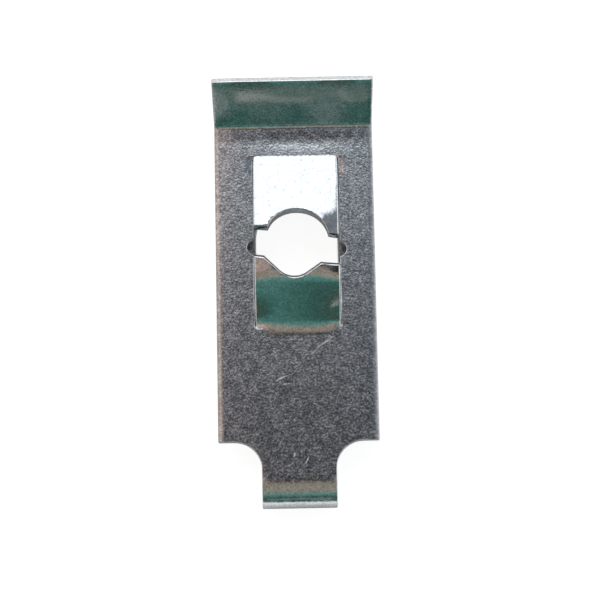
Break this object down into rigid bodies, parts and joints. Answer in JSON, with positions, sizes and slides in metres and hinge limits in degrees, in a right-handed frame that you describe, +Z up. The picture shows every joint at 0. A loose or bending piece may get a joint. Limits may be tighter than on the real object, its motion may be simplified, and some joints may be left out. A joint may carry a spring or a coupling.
{
  "type": "u clip speed nut",
  "caption": "One-piece spring steel U clip with a lanced screw thread, a flared lead-in lip and a necked fold, for a screw through a panel edge.",
  "frame": {"origin": "screw axis where it meets the lower leg's outer face", "axes": "+Z up along the screw axis from the lower leg to the threaded upper leg, +Y along the clip toward the lip and the mouth, +X across the strip"},
  "size_m": [0.0129, 0.0341, 0.006],
  "materials": {
    "zinc_plated_spring_steel": "bright zinc plating with a fine mottled grain, hard and reflective"
  },
  "bodies": {
    "root": {"clip": "zinc_plated_spring_steel"}
  },
  "joints": []
}
